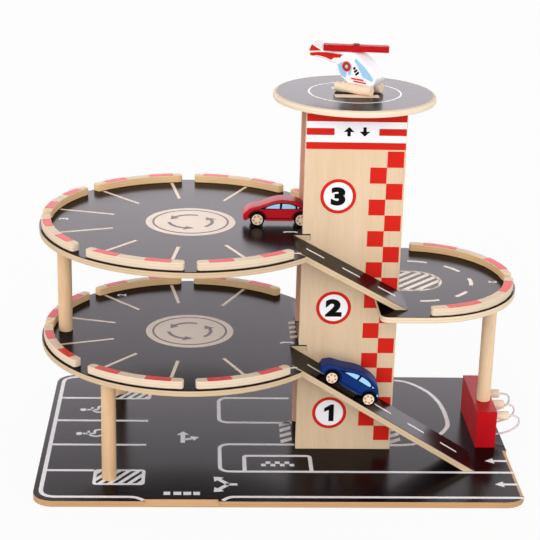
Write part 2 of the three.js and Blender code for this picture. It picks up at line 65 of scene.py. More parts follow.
X_AXIS, Y_AXIS, Z_AXIS = Vector((1, 0, 0)), Vector((0, 1, 0)), Vector((0, 0, 1))
print("pieces in the frame:", len(frame["nodes"]))

# %% [markdown]
# ## The camera
# The photograph was taken from the front and a little above, from nearly two metres away with a long lens.
# A camera can be aimed by hand until the picture looks alike, or solved from points whose places are known.
# These numbers come from such a solution, so that every edge falls where the photograph has it.

# %% Camera
PICTURE_WIDTH = 540
FOCAL_PIXELS = 1537.64
EYE = Vector((-101.84, -1838.77, 891.22)) * MM
DOWN, TURN, ROLL = 0.34142, 0.04896, 0.02678


def placed(name, data):
    """A new object in the scene."""
    made = bpy.data.objects.new(name, data)
    bpy.context.scene.collection.objects.link(made)
    return made


forward = Vector((math.sin(TURN) * math.cos(DOWN), math.cos(TURN) * math.cos(DOWN), -math.sin(DOWN)))
level = Vector((math.cos(TURN), -math.sin(TURN), 0))
upright = level.cross(forward)
right = level * math.cos(ROLL) + upright * math.sin(ROLL)
up = upright * math.cos(ROLL) - level * math.sin(ROLL)
lens = bpy.data.cameras.new("camera")
lens.sensor_width = 36
lens.lens = FOCAL_PIXELS * lens.sensor_width / PICTURE_WIDTH
lens.clip_end = 50
camera = placed("camera", lens)
camera.matrix_world = Matrix.Translation(EYE) @ Matrix((right, up, -forward)).transposed().to_4x4()
bpy.context.scene.camera = camera
print("lens in millimetres:", round(lens.lens, 1))

# %% [markdown]
# ## The three fuel cords
# Each is 2.5 mm of soft white elastic, 61 mm long. It leaves the block just above the board, curls out
# and up, and ends in the nozzle, which pulls out on it. Here each cord is a tube: a ring of points carried
# along the route.

# %% Cord routes
BLOCK_FACE = 286
CORD_OUTLET = 16
CORD_RADIUS = 1.25
NOZZLE_SPOTS = {"front": -14.5, "middle": 20.5, "back": 55.5}
CORD_ROUTE = [
    (0.3, 0, 0), (4, 0, 0), (9, 0, 0.6), (14.5, -0.3, 1.7), (20.2, -0.6, 3.8), (25.5, -1, 6.5),
    (30, -1.3, 10), (33.2, -1.4, 14), (34.6, -1.2, 18.5), (33.8, -0.8, 22.5), (30.5, -0.3, 25.6),
    (25, 0, 27), (20.3, 0, 27),
]


def smooth(points, steps):
    """A Catmull-Rom curve through the points, with so many steps between each two."""
    points = [Vector(p) for p in points]
    ends = [points[0] * 2 - points[1]] + points + [points[-1] * 2 - points[-2]]
    curve = []
    for a, b, c, d in zip(ends, ends[1:], ends[2:], ends[3:]):
        for i in range(steps):
            t = i / steps
            curve.append(0.5 * (2 * b + (c - a) * t + (2 * a - 5 * b + 4 * c - d) * t * t
                                + (3 * b - 3 * c + d - a) * t ** 3))
    return curve + [points[-1]]


def hoop(work, middle, side, other, radius, steps):
    """A ring of vertices round a middle, all in millimetres."""
    turns = [math.tau * k / steps for k in range(steps)]
    return [work.verts.new((middle + (side * math.cos(a) + other * math.sin(a)) * radius) * MM) for a in turns]


def skin(work, rings, finishes):
    """Joins each two rings with a band of faces. A ring may also be one vertex, repeated."""
    for low, high, finish in zip(rings, rings[1:], finishes):
        for a, b, c, d in zip(low, low[1:] + low[:1], high[1:] + high[:1], high):
            corners = list(dict.fromkeys((a, b, c, d)))
            if len(corners) > 2:
                face = work.faces.new(corners)
                face.material_index = finish
                face.smooth = True


def piece(name, work, finishes=()):
    """Turns finished mesh work into an object in the scene."""
    mesh = bpy.data.meshes.new(name)
    work.to_mesh(mesh)
    work.free()
    for finish in finishes:
        mesh.materials.append(finish)
    return placed(name, mesh)


def tube(name, path, radius, sides=12):
    """A closed tube along a path, in millimetres, with its places at rest in its vertices."""
    rings = []
    work = bmesh.new()
    for i, middle in enumerate(path):
        along = (path[min(i + 1, len(path) - 1)] - path[max(i - 1, 0)]).normalized()
        over = along.cross(Y_AXIS).normalized()
        rings.append(hoop(work, middle, over.cross(along), over, radius, sides))
    skin(work, rings, [0] * len(rings))
    for end in (rings[0][::-1], rings[-1]):
        work.faces.new(end)
    bmesh.ops.recalc_face_normals(work, faces=work.faces)
    return piece(name, work)


cords, cord_paths = {}, {}
for spot, y in NOZZLE_SPOTS.items():
    route = [(BLOCK_FACE + out, y + sway, CORD_OUTLET + up) for out, sway, up in CORD_ROUTE]
    cord_paths[spot] = smooth(route, 5)
    cords[spot] = tube(f"cord_{spot}", cord_paths[spot], CORD_RADIUS)
cord_length = sum((b - a).length for a, b in zip(cord_paths["front"], cord_paths["front"][1:])) * MM
print("cord length in metres:", round(cord_length, 4))

# %% [markdown]
# ## Shader sums written as Python
# A finish is a net of nodes. Wiring it by hand hides the idea, so a small class stands for one output of a
# node and adds a Math node for each sum that is written with it. Colours and vectors have methods of their
# own, since a Math node would turn a colour grey.

# %% A finish and the values in it


class Value:
    def __init__(self, finish, socket):
        self.finish = finish
        self.socket = socket

    def sum(self, operation, *values):
        return self.finish.node("Math", {"operation": operation}, values)

    def __add__(self, other): return self.sum("ADD", self, other)
    def __radd__(self, other): return self.sum("ADD", other, self)
    def __sub__(self, other): return self.sum("SUBTRACT", self, other)
    def __rsub__(self, other): return self.sum("SUBTRACT", other, self)
    def __mul__(self, other): return self.sum("MULTIPLY", self, other)
    def __rmul__(self, other): return self.sum("MULTIPLY", other, self)

    def sine(self):
        return self.sum("SINE", self)

    def size(self):
        return self.sum("ABSOLUTE", self)

    def between(self, low, high):
        """0 below low, 1 above high, and a soft step from one to the other."""
        return self.finish.node("MapRange", {"interpolation_type": "SMOOTHSTEP"},
                                {"Value": self, "From Min": low, "From Max": high})


class Finish:
    def __init__(self, name, data=None):
        self.material = data or bpy.data.materials.new(name)
        self.material.use_nodes = True
        self.tree = self.material.node_tree
        self.tree.nodes.clear()

    def node(self, kind, settings=None, sockets=(), out=0):
        made = self.tree.nodes.new("ShaderNode" + kind)
        for key, value in (settings or {}).items():
            setattr(made, key, value)
        for key, value in (sockets.items() if isinstance(sockets, dict) else enumerate(sockets)):
            if isinstance(value, Value):
                self.tree.links.new(value.socket, made.inputs[key])
            else:
                made.inputs[key].default_value = value
        return Value(self, made.outputs[out]) if made.outputs else None

    def mix(self, share, first, second):
        """Blends two colours. One of three numbers is as read from a picture."""
        first, second = (tint(c) if isinstance(c, tuple) and len(c) == 3 else c for c in (first, second))
        return self.node("Mix", {"data_type": "RGBA"}, {0: share, 6: first, 7: second}, out=2)

    def place(self):
        return self.node("TexCoord", out=3)

    def dot(self, vector, direction):
        return self.node("VectorMath", {"operation": "DOT_PRODUCT"}, (vector, direction), out=1)

    def noise(self, scale, detail=3.0, roughness=0.5, where=None):
        return self.node("TexNoise", None, {"Vector": where or self.place(), "Scale": scale,
                                            "Detail": detail, "Roughness": roughness})

    def grain(self, along, lengthwise, crosswise, detail, roughness=0.5):
        """Noise with one direction drawn out, for grain that runs that way."""
        along = Vector(along).normalized()
        across = along.cross(Z_AXIS if abs(along.z) < 0.9 else X_AXIS).normalized()
        spot = self.place()
        parts = (self.dot(spot, along) * lengthwise, self.dot(spot, across) * crosswise,
                 self.dot(spot, along.cross(across)) * crosswise)
        return self.noise(1.0, detail, roughness, self.node("CombineXYZ", None, parts))

    def surface(self, tone, roughness, specular=0.5, bump=None, **more):
        """The finished material. A bump is a height, a strength and a depth in millimetres."""
        sockets = {"Base Color": tone, "Roughness": roughness, "Specular IOR Level": specular}
        if bump:
            height, strength, depth = bump
            sockets["Normal"] = self.node("Bump", None, {"Strength": strength, "Distance": depth * MM,
                                                         "Height": height})
        sockets.update((name.replace("_", " ").title(), value) for name, value in more.items())
        self.node("OutputMaterial", None, (self.node("BsdfPrincipled", None, sockets),))
        return self.material


def tint(colour):
    """A colour as read from a picture, 0 to 255, turned into the light that a shader works with."""
    channels = [c / 255 for c in colour]
    linear = [c / 12.92 if c <= 0.04045 else ((c + 0.055) / 1.055) ** 2.4 for c in channels]
    return (*linear, 1.0)


def shaded(colour, share):
    """The same colour with so much of its light."""
    return (*(min(1.0, channel * share) for channel in colour[:3]), 1.0)


print("sums ready")

# %% [markdown]
# ## Wood
# Every bare surface is birch or a pale hardwood. What the eye reads as wood is drawn-out noise: slow bands
# of a slightly darker tone, and short fine pores that run the same way. A photograph of wood would do too,
# but drawn-out noise needs no picture and can run along each piece's own grain.

# %% Wood finishes


def wood(name, light, dark, along, pores=0.35, gloss=0.42):
    look = Finish(name)
    slow = look.grain(along, 3, 26, 4.0, 0.55).between(0.35, 0.68)
    fibre = look.grain(along, 22, 620, 5.0, 0.6).between(0.4, 0.64)
    pore = look.grain(along, 70, 1900, 2.0).between(0.62, 0.74)
    blotch = look.noise(14.0, 2.0).between(0.3, 0.75)
    tone = look.mix(slow * 0.55 + fibre * 0.3, light, dark)
    tone = look.mix(pore * pores, tone, shaded(tint(dark), 0.62))
    tone = look.mix(blotch * 0.16, tone, (238, 206, 172))
    return look.surface(tone, gloss + fibre * 0.08 + pore * 0.12, 0.06, (fibre * -0.5 - pore, 0.35, 0.06))


PLY = 8
PLY_LIGHT = (210, 186, 156)
END_GRAIN = (0.82, 0.78, 0.72)
FILM_EDGE = (40, 26, 28)


def ply_edge(name, across, start, thickness=PLY, plies=5, contrast=1.0, film=0.0, light=PLY_LIGHT):
    """The sawn edge of plywood: its plies in turn show long fibre, which is light, and end grain.
    The film on the driving side may reach a little way down over the rounded edge."""
    look = Finish(name)
    light = tint(light)
    height = look.dot(look.place(), across) * (1 / MM) - start
    wave = (height * (plies * math.pi / thickness)).sine()
    end_grain = wave.between(-0.12, 0.12)
    glue = 1 - wave.size().between(0.0, 0.16)
    fine = look.noise(900.0)
    slow = look.noise(35.0)
    dark = (*(channel * share for channel, share in zip(light, END_GRAIN)), 1.0)
    tone = look.mix(end_grain * 0.7 * contrast, light, dark)
    tone = look.mix(glue * 0.35 * contrast, tone, shaded(dark, 0.6))
    tone = look.mix(fine.between(0.4, 0.7) * 0.2, tone, dark)
    tone = look.mix(slow.between(0.35, 0.7) * 0.15, tone, shaded(light, 1.15))
    if film:
        rim = thickness - film
        tone = look.mix(height.between(rim - 0.2, rim + 0.2), tone, FILM_EDGE)
    return look.surface(tone, 0.6 + fine * 0.1, 0.04, (fine + end_grain * 0.4, 0.3, 0.08))


birch = {
    "x": wood("birch_along_x", (246, 222, 192), (228, 196, 158), X_AXIS),
    "y": wood("birch_along_y", (236, 206, 172), (214, 176, 134), Y_AXIS),
    "z": wood("birch_upright", (226, 190, 152), (204, 162, 120), Z_AXIS),
}
panel_face = wood("panel_veneer", (228, 202, 172), (214, 184, 148), Z_AXIS, pores=0.25)
# The rear panel's face towards the front is the same veneer, tinted salmon: painted shade and reddish bounce
# light.
red_bounce_painted_face = wood("inner_veneer_painted_red_bounce", (238, 180, 156), (222, 160, 136), Z_AXIS, pores=0.25)
under_face = wood("underside_veneer", (228, 196, 160), (206, 168, 126), X_AXIS)
print("woods:", len(birch) + 3)

# %% [markdown]
# ## Dark laminate, ink and paint
# The driving surfaces are a dark resin film pressed on the plywood, smooth but not glossy, with a faint
# mottle and fine rub marks. On it lie screen-printed inks. The block, the cars and the rotor are sprayed:
# an even colour under a clear coat that catches the studio's white walls.

# %% Laminate, ink and paint


def laminate(name, colour, rubbed, shine=0.18, specular=0.041):
    look = Finish(name)
    mottle = look.noise(220.0, 4.0, 0.6)
    slow = look.noise(9.0)
    rub = look.grain((1, 0.25, 0), 16, 900, 3.0).between(0.6, 0.78)
    tone = look.mix(slow.between(0.3, 0.7) * 0.4 + mottle.between(0.4, 0.8) * 0.15, colour, rubbed)
    tone = look.mix(rub * 0.05, tone, (120, 108, 112))
    rough = shine + mottle * 0.03 + slow * 0.04 + rub * 0.05
    return look.surface(tone, rough, specular, (mottle, 0.05, 0.02))


def ink(name, colour, worn, shine=0.25, specular=0.05):
    look = Finish(name)
    grit = look.noise(700.0, 3.0, 0.65)
    slow = look.noise(30.0)
    tone = look.mix(grit.between(0.55, 0.8) * 0.3 + slow.between(0.35, 0.7) * 0.25, colour, worn)
    return look.surface(tone, shine + grit * 0.1, specular, (grit, 0.08, 0.02))


def paint(name, colour, deep, shine=0.3, coat=0.02):
    look = Finish(name)
    peel = look.noise(420.0, 2.0)
    fibre = look.grain(X_AXIS, 30, 420, 4.0)
    slow = look.noise(26.0)
    tone = look.mix(slow.between(0.3, 0.7) * 0.45 + fibre.between(0.5, 0.8) * 0.25, colour, deep)
    return look.surface(tone, shine + fibre * 0.1 + peel * 0.05, 0.06, (peel * 0.5 + fibre * 0.6, 0.22, 0.06),
                        coat_weight=coat, coat_roughness=0.18)


board_film = laminate("board_film", (16, 8, 10), (26, 15, 17), specular=0.066)
deck_film = laminate("deck_film", (18, 9, 10), (28, 16, 18))
second_film = laminate("second_film", (18, 9, 10), (28, 16, 18), specular=0.033)
lower_film = laminate("lower_film", (30, 20, 22), (42, 30, 32), 0.3)
white_ink = ink("white_ink", (252, 250, 254), (238, 234, 240))
cream_ink = ink("cream_ink", (240, 220, 202), (228, 204, 182))
deck_ink = ink("deck_ink", (250, 236, 224), (240, 224, 208))
red_ink = ink("red_ink", (212, 38, 28), (198, 32, 24), 0.45)
patch_ink = ink("patch_red", (230, 50, 44), (216, 40, 36), 0.25, 0.06)
black_ink = ink("black_ink", (10, 8, 9), (18, 15, 16), 0.5)
grey_ink = ink("grey_ink", (92, 80, 84), (76, 66, 70))
ring_ink = ink("ring_grey", (170, 190, 196), (150, 172, 180))
glass_ink = ink("window_blue", (160, 208, 240), (134, 190, 230), 0.3)
bull_ink = ink("ring_cyan", (120, 226, 244), (104, 208, 228), 0.3)
block_paint = paint("block_red", (190, 16, 26), (168, 10, 20), 0.38, 0.06)
car_red = paint("car_red", (184, 24, 36), (160, 16, 28), 0.3, 0.05)
car_blue = paint("car_blue", (8, 48, 116), (6, 38, 94), 0.3, 0.04)
rotor_red = paint("rotor_red", (188, 20, 24), (168, 14, 18), 0.4)
print("finishes so far:", len(bpy.data.materials))

# %% [markdown]
# ## Softened copies of the solids
# No real edge is razor sharp: sandpaper takes off half a millimetre, and that thin rounded strip is what
# catches the light. Each solid from the model is copied, its flat triangles are merged back into faces,
# and every sharp edge gets a small bevel. The faces are then sorted into finishes by the way they point.

# %% Softened pieces


def body_of(node):
    for body, members in frame["record"]["behaviour"]["bodies"].items():
        if node in members:
            return body
    return "root"


def dress(made, node, slot):
    """Puts a made piece in the place of a piece of the model."""
    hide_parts(node)
    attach(made, body_of(node))
    return made


def softened(node, slot, width, finishes, sort=None, sharp=32, segments=2, reshape=None):
    """A copy of a solid with bevelled edges, whose faces are sorted into finishes."""
    work = bmesh.new()
    work.from_mesh(frame["nodes"][node].data)
    bmesh.ops.remove_doubles(work, verts=work.verts, dist=0.002 * MM)
    bmesh.ops.dissolve_limit(work, angle_limit=math.radians(0.6), verts=work.verts, edges=work.edges)
    if reshape:
        for vert in work.verts:
            vert.co = reshape(vert.co / MM) * MM
    edges = [e for e in work.edges
             if len(e.link_faces) == 2 and e.calc_face_angle(0) > math.radians(sharp)]
    bmesh.ops.bevel(work, geom=edges, offset=width * MM, segments=segments, profile=0.5,
                    affect="EDGES", clamp_overlap=True)
    for face in work.faces:
        face.smooth = True
        if sort:
            face.material_index = sort(face.normal, face.calc_center_median() / MM)
    made = piece(node + "_dressed", work, finishes)
    hard = made.modifiers.new("even shading", "WEIGHTED_NORMAL")
    hard.keep_sharp = True
    return dress(made, node, slot)


def tilted(limit, bevel=None):
    """Sorts a board's faces: 0 for the film on top, 1 for the sawn edges, 2 for the underside, 3 for bevels."""
    def sort(normal, middle):
        if normal.z > limit:
            return 0
        leans = normal.x ** 2 + normal.y ** 2 > 0.04
        if bevel and normal.z > bevel and abs(middle.z) < PLY and leans:
            return 3
        return 2 if normal.z < -0.5 else 1
    return sort


LEVEL_TWO, SIDE_LEVEL, LEVEL_THREE, PAD_LEVEL = 152.5, 225, 300, 468.8
SIDE_LIGHT, PAD_LIGHT = (232, 212, 186), (238, 221, 199)
BASE_LIGHT, ROUTED_LIGHT = (196, 154, 114), (212, 170, 128)
flat_edges = {
    level: ply_edge(f"ply_edge_at_{int(level)}", Z_AXIS, level - PLY, film=film, light=light)
    for level, film, light in ((LEVEL_TWO, 1.1, PLY_LIGHT), (SIDE_LEVEL, 0.5, SIDE_LIGHT),
                               (LEVEL_THREE, 1.1, PLY_LIGHT))
}
flat_edges[PAD_LEVEL] = ply_edge("ply_edge_of_helipad", Z_AXIS, PAD_LEVEL - PLY, contrast=0.6, light=PAD_LIGHT)
flat_edges[PLY] = ply_edge("ply_edge_of_base", Z_AXIS, 0, light=BASE_LIGHT)
routed = ply_edge("ply_of_bevels", Z_AXIS, 0, contrast=0.5, light=ROUTED_LIGHT)
softened("base_board", "laminate", 0.5, [board_film, flat_edges[PLY], lower_film, routed], tilted(0.8, 0.2))
for name, level, film in (("deck_two", LEVEL_TWO, second_film), ("deck_three", LEVEL_THREE, deck_film),
                          ("side_deck", SIDE_LEVEL, deck_film)):
    softened(name, "laminate", 0.5, [film, flat_edges[level], lower_film], tilted(0.3))
print("boards dressed")

# %% [markdown]
# ## Ramps, tower and lift
# The ramps are strips of the same board. Their plies lie along the slope, so the edge finish is told which
# way is up for each ramp. The tower's panels show a veneer face, and plies along their long edges. The rear
# panel's face towards the front is tinted salmon as painted shade and bounce light, and the front panel's
# edges are lighter as a painted highlight.

# %% Ramps
RAMPS = {
    "upper_ramp": ((13.8, LEVEL_THREE), (153, SIDE_LEVEL)),
    "lower_ramp": ((13.8, LEVEL_TWO), (249, PLY)),
    "rear_ramp": ((159.7, SIDE_LEVEL), (22.5, LEVEL_TWO)),
}
ramp_plane = {}
for name, ((head_x, head_z), (foot_x, foot_z)) in RAMPS.items():
    slope = Vector((foot_x - head_x, 0, foot_z - head_z))
    run = slope.normalized()
    rise = run.cross(Y_AXIS)
    rise = rise if rise.z > 0 else -rise
    head = Vector((head_x, 0, head_z))
    ramp_plane[name] = (head, run, rise, slope.length)
    edge = ply_edge(f"{name}_edge", rise, rise.dot(head) - PLY)
    softened(name, "laminate", 0.5, [deck_film, edge, lower_film], tilted(0.3))
print("ramps:", list(ramp_plane))

# %% Tower and lift
TOWER_FRONT = -45


def panel_sort(normal, middle):
    """0 for the face at the back, 1 for the sawn edges, 2 for the face at the front."""
    if abs(normal.y) < 0.9:
        return 1
    return 2 if normal.y < 0 else 0


# The front panel's edges take a lighter ply tone than the rear's: a painted highlight on its rounded edges.
for name, start, light, front_face in (("tower_front_panel", TOWER_FRONT, (252, 236, 216), panel_face),
                                       ("tower_rear_panel", 37, PLY_LIGHT, red_bounce_painted_face)):
    edge = ply_edge(f"{name}_edge", Y_AXIS, start, light=light)
    softened(name, "ply", 0.5, [panel_face, edge, front_face], panel_sort)
right_edge = ply_edge("tower_right_edge", X_AXIS, 139.5)
softened("tower_right_panel", "ply", 0.5, [panel_face, right_edge],
         lambda normal, middle: 0 if abs(normal.x) > 0.9 else 1)
floor_edge = ply_edge("lift_floor_edge", Z_AXIS, LEVEL_THREE - PLY)
softened("lift_floor", "ply", 0.5, [under_face, floor_edge],
         lambda normal, middle: 0 if abs(normal.z) > 0.9 else 1)
softened("lift_back_plate", "ply", 0.4, [panel_face])
for side in ("left", "right"):
    softened(f"lift_guide_{side}", "birch", 0.4, [birch["z"]])
softened("lift_knob", "birch", 0.4, [birch["y"]], sharp=25)

felt = Finish("felt")
fluff = felt.noise(1500.0, 5.0, 0.8)
felt.surface(felt.mix(fluff.between(0.3, 0.7), (58, 58, 60), (92, 92, 94)), 0.95, bump=(fluff, 0.8, 0.3))
for side in ("left", "right"):
    softened(f"lift_felt_{side}", "felt", 0.3, [felt.material])
print("tower and lift dressed")

# %% [markdown]
# ## Kerbs and columns
# The kerbs are strips of birch bent or sawn to the rim and rounded by hand, softer than the plywood. The
# columns are turned dowels with a small chamfer at each end.

# %% Kerbs and columns
# The right column is the same dowel given a paler tone: painted light, for the brighter light that falls on it.
painted_lit_dowel = wood("painted_lit_dowel", (240, 214, 180), (222, 190, 152), Z_AXIS)
kerb_birch = wood("kerb_birch", (238, 216, 192), (224, 198, 170), X_AXIS, pores=0.25)
KERB_HEIGHT = 10


def kerb_sort(normal, middle):
    """0 for the top, 2 for the inside of the kerbs at the back, tinted warmer as painted shade, 1 for every other
    side.
    """
    if normal.z > 0.6:
        return 0
    return 2 if middle.y > 0 and normal.y < -0.05 else 1


# The inside of the kerbs at the back is the same birch with a warmer, more orange tone: painted shade.
KERB_LOOKS = (("kerb_side", 0.8, (228, 209, 186)), ("kerb_inside_painted_shade", 0.7, (248, 208, 158)))
kerb_edges = {
    level: [ply_edge(f"{name}_at_{int(level)}", Z_AXIS, level, KERB_HEIGHT, 6, contrast, light=light)
            for name, contrast, light in KERB_LOOKS]
    for level in (LEVEL_TWO, SIDE_LEVEL, LEVEL_THREE)
}
for name in frame["nodes"]:
    if "kerb" in name:
        level = min(kerb_edges, key=lambda height: abs(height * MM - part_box(name)[0].z))
        softened(name, "birch", 1.3, [kerb_birch, *kerb_edges[level]], kerb_sort, segments=3)
    # The right column takes the paler tone of painted light.
    if name.startswith("column"):
        softened(name, "birch", 0.8, [painted_lit_dowel if name == "column_right" else birch["z"]])
print("kerbs:", sum("kerb" in name for name in frame["nodes"]))

# %% [markdown]
# ## Prints
# A screen print is a film of ink that lies on the surface. It could be painted into the surface's shader
# with masks, but a line two metres from the camera has to stay crisp in any picture size. So each print is
# a set of flat outlines on one plane, given a tenth of a millimetre of thickness.

# %% A print on a plane


def trimmed(outline, area):
    """Cuts an outline down to what lies inside a convex area whose corners run anticlockwise."""
    for c, d in zip(area, area[1:] + area[:1]):
        across = Vector((c[1] - d[1], d[0] - c[0]))
        kept = []
        for a, b in zip(outline, outline[1:] + outline[:1]):
            deep_a, deep_b = across.dot(Vector(a) - Vector(c)), across.dot(Vector(b) - Vector(c))
            if deep_a >= 0:
                kept.append(a)
            if (deep_a >= 0) != (deep_b >= 0):
                share = deep_a / (deep_a - deep_b)
                kept.append(tuple(p + (q - p) * share for p, q in zip(a, b)))
        outline = kept
    return outline


def rounded(points, radius, closed=False, steps=6):
    """A path with its corners replaced by short arcs."""
    points = [Vector(p) for p in points]
    path = []
    for i, corner in enumerate(points):
        if not closed and i in (0, len(points) - 1):
            path.append(corner)
            continue
        before = points[i - 1] - corner
        after = points[(i + 1) % len(points)] - corner
        cut = min(radius, before.length / 2, after.length / 2)
        start, end = corner + before.normalized() * cut, corner + after.normalized() * cut
        for k in range(steps + 1):
            t = k / steps
            path.append(start * (1 - t) ** 2 + corner * 2 * t * (1 - t) + end * t * t)
    return path


def around(centre, radius, degrees):
    angle = math.radians(degrees)
    return (centre[0] + radius * math.cos(angle), centre[1] + radius * math.sin(angle))


def box_path(left, right, low, high):
    return [(left, low), (right, low), (right, high), (left, high)]


class Print:
    """Flat shapes of one ink on one plane, in millimetres. The ink lies on the side of the plane where
    along x across points, or on the other side if outward is -1."""
    FILM = 0.12

    def __init__(self, name, origin, along, across, lift=0.0, outward=1):
        self.name = name
        self.origin, self.along, self.across = Vector(origin), Vector(along), Vector(across)
        self.out = self.along.cross(self.across) * outward
        self.origin += self.out * lift
        self.work = bmesh.new()

    def spot(self, point):
        return self.work.verts.new((self.origin + self.along * point[0] + self.across * point[1]) * MM)

    def fill(self, *outlines):
        for outline in outlines:
            if len(outline) > 2:
                self.work.faces.new([self.spot(p) for p in outline])

    def stroke(self, path, width, closed=False):
        points = [Vector(p).to_2d() for p in path]
        points = [p for p, q in zip(points, points[1:] + points[:1]) if (p - q).length > 0.01 or not closed]
        rows = []
        for i, point in enumerate(points):
            before = points[i - 1] if i or closed else point
            after = points[(i + 1) % len(points)] if i + 1 < len(points) or closed else point
            first, second = point - before, after - point
            first = first.normalized() if first.length else second.normalized()
            second = second.normalized() if second.length else first
            middle = (first + second).normalized()
            side = Vector((-middle.y, middle.x)) * (width / 2 / max(0.4, middle.dot(first)))
            rows.append((self.spot(point - side), self.spot(point + side)))
        pairs = list(zip(rows, rows[1:])) + ([(rows[-1], rows[0])] if closed else [])
        for (a, b), (c, d) in pairs:
            self.work.faces.new((a, c, d, b))

    def ring(self, centre, outer, inner, start=0.0, end=360.0):
        steps = max(4, int(abs(end - start) / 5))
        turns = [start + (end - start) * i / steps for i in range(steps + 1)]
        path = [around(centre, (outer + inner) / 2, degrees) for degrees in turns]
        whole = abs(end - start) >= 359.9
        self.stroke(path[:-1] if whole else path, outer - inner, closed=whole)

    def disc(self, centre, radius):
        self.fill([around(centre, radius, 7.5 * i) for i in range(48)])

    def arrow(self, tail, tip, width, head, length):
        tail, tip = Vector(tail), Vector(tip)
        way = (tip - tail).normalized()
        side = Vector((-way.y, way.x))
        neck = tip - way * length
        self.fill([tail + side * width / 2, tail - side * width / 2, neck - side * width / 2,
                   neck - side * head, tip, neck + side * head, neck + side * width / 2])

    def stripes(self, area, start, low, high, pitch, width, slant):
        """Slanting stripes from low to high, cut down to a convex area whose corners run anticlockwise."""
        while start < max(x for x, _ in area) + slant:
            foot, head = (start, start + width), (start + slant, start + width + slant)
            self.fill(trimmed([(foot[0], low), (foot[1], low), (head[1], high), (head[0], high)], area))
            start += pitch

    def numeral(self, text, centre, height, turn=0.0, weight=0.03, wide=1.0):
        letter = bpy.data.curves.new("numeral", "FONT")
        letter.body = text
        letter.offset = weight
        letter.fill_mode = "FRONT"
        drawn = bpy.data.objects.new("numeral", letter)
        shape = drawn.to_mesh()
        xs, ys = [v.co.x for v in shape.vertices], [v.co.y for v in shape.vertices]
        scale = height / (max(ys) - min(ys))
        mid = Vector(((max(xs) + min(xs)) / 2, (max(ys) + min(ys)) / 2))
        spin = Matrix.Rotation(math.radians(turn), 2)
        spots = []
        for vert in shape.vertices:
            across, up = (vert.co.to_2d() - mid) * scale
            spots.append(self.spot(spin @ Vector((across * wide, up)) + Vector(centre)))
        for face in shape.polygons:
            corners = [spots[i] for i in face.vertices]
            self.work.faces.new(corners if face.normal.z > 0 else corners[::-1])
        drawn.to_mesh_clear()
        bpy.data.objects.remove(drawn)
        bpy.data.curves.remove(letter)

    def press(self, finish, body="root", slot="white_paint"):
        """Gives the shapes their thickness and lays them on the body."""
        self.work.normal_update()
        shell = bmesh.ops.extrude_face_region(self.work, geom=list(self.work.faces), use_keep_orig=True)
        lifted = [v for v in shell["geom"] if isinstance(v, bmesh.types.BMVert)]
        bmesh.ops.translate(self.work, verts=lifted, vec=self.out * self.FILM * MM)
        bmesh.ops.recalc_face_normals(self.work, faces=self.work.faces)
        made = piece(self.name, self.work, [finish])
        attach(made, body)
        return made


def flat_print(name, level, lift=0.0):
    """A print that lies flat at one height."""
    return Print(name, (0, 0, level), X_AXIS, Y_AXIS, lift)


print("print kit ready")

# %% [markdown]
# ## Road markings on the base board
# White lines show the bays, the lanes, two islands, the way round and the crossings. Two bays carry the
# common sign of a wheelchair. Where the real board has words, four short bars and a strip of small squares
# take their place.

# %% Lines of the base board
road = flat_print("board_lines", PLY)
loop = smooth([(150, 181), (180, 176.5), (196, 170.5), (214, 151), (226, 127), (233.5, 97), (236, 63), (235, 33),
               (230.5, 18), (222, 3), (205, -17), (186, -27.5), (172, -32), (149, -33.6)], 4)
road.stroke(loop, 5.6)
for path, radius, width in (
        ([(-165.5, -186.5), (-176, -178), (-291, -178), (-291, 181), (150, 181)], 20, 5.2),
        ([(-70.5, -186.5), (-62, -177), (299.4, -177)], 12, 5),
        ([(24.4, -110), (299.4, -110)], 0, 5),
        ([(24.4, 33), (-73, 33), (-73, 112), (24.4, 112)], 14, 5),
        ([(24.4, -110), (-73, -110), (-73, -33), (24.4, -33)], 14, 5),
        ([(-42, -107.5), (-42, -66), (42, -66), (42, -107.5)], 5, 5)):
    road.stroke(rounded(path, radius), width)
for y, end in ((-108.5, -230.2), (-36, -167.5), (36.8, -167.5), (109.3, -230.2)):
    road.stroke([(-288.3, y), (end, y)], 4.8)
print("lanes drawn")

# %% Hatched boxes, crossings and arrows
for low, high in ((-145, -108), (108, 145)):
    outline = rounded(box_path(-228, -168, low, high), 4, closed=True)
    road.stroke(outline, 4.2, closed=True)
    low, high = low + 2.2, high - 2.2
    road.stripes(box_path(-225.8, -170.2, low, high), -247.8, low, high, 12, 6.2, 22)
for left in (7, 150):
    for y in (-29, -12.5, 4, 20.5):
        road.fill([(left, y), (left + 15, y + 9.5), (left + 15, y + 18.5), (left, y + 9)])
for x, y in ((266.5, -77.6), (268, -142)):
    road.arrow((x + 28.5, y), (x, y), 5, 7.5, 11)
road.arrow((-120.6, -29), (-120.6, 4.5), 5.8, 8, 10)
road.arrow((-118, -20), (-99.5, -12.5), 5, 7, 10)
road.stroke([(-52, -144.6), (-66, -144.6)], 5.4)
for side in (1, -1):
    road.arrow((-63, -144.6), (-81, -144.6 + side * 20), 5.8, 8, 10)
for i, length in enumerate((9.5, 11, 11, 9.5)):
    road.stroke([(-142 + i * 12, -168.5), (-142 + i * 12 + length - 1.5, -168.5)], 8)
for i in range(7):
    left, low = -21 + i * 6, -95 + i % 2 * 6.5
    road.fill(box_path(left, left + 6, low, low + 6.5))
print("arrows and crossings drawn")

# %% Wheelchair signs
for y in (70.9, -3.4):
    road.disc((-256.5, y), 4.2)
    road.stroke(rounded([(-251.5, y), (-236.5, y), (-236.5, y + 10.5), (-226, y + 13)], 3), 3.6)
    road.stroke([(-244.5, y), (-244.5, y + 8)], 3.2)
    road.ring((-234.5, y + 1.5), 11, 7.8, 175, 395)
road_print = road.press(white_ink)
print("road print faces:", len(road_print.data.polygons))

# %% [markdown]
# ## Markings of the decks
# Decks two and three carry a pale roundabout in the middle with three arrows that chase each other, and
# eight lines that part the bays. On the rims lie the kerbs, each with two red patches. The half-round deck
# has a dashed lane that follows its edge.

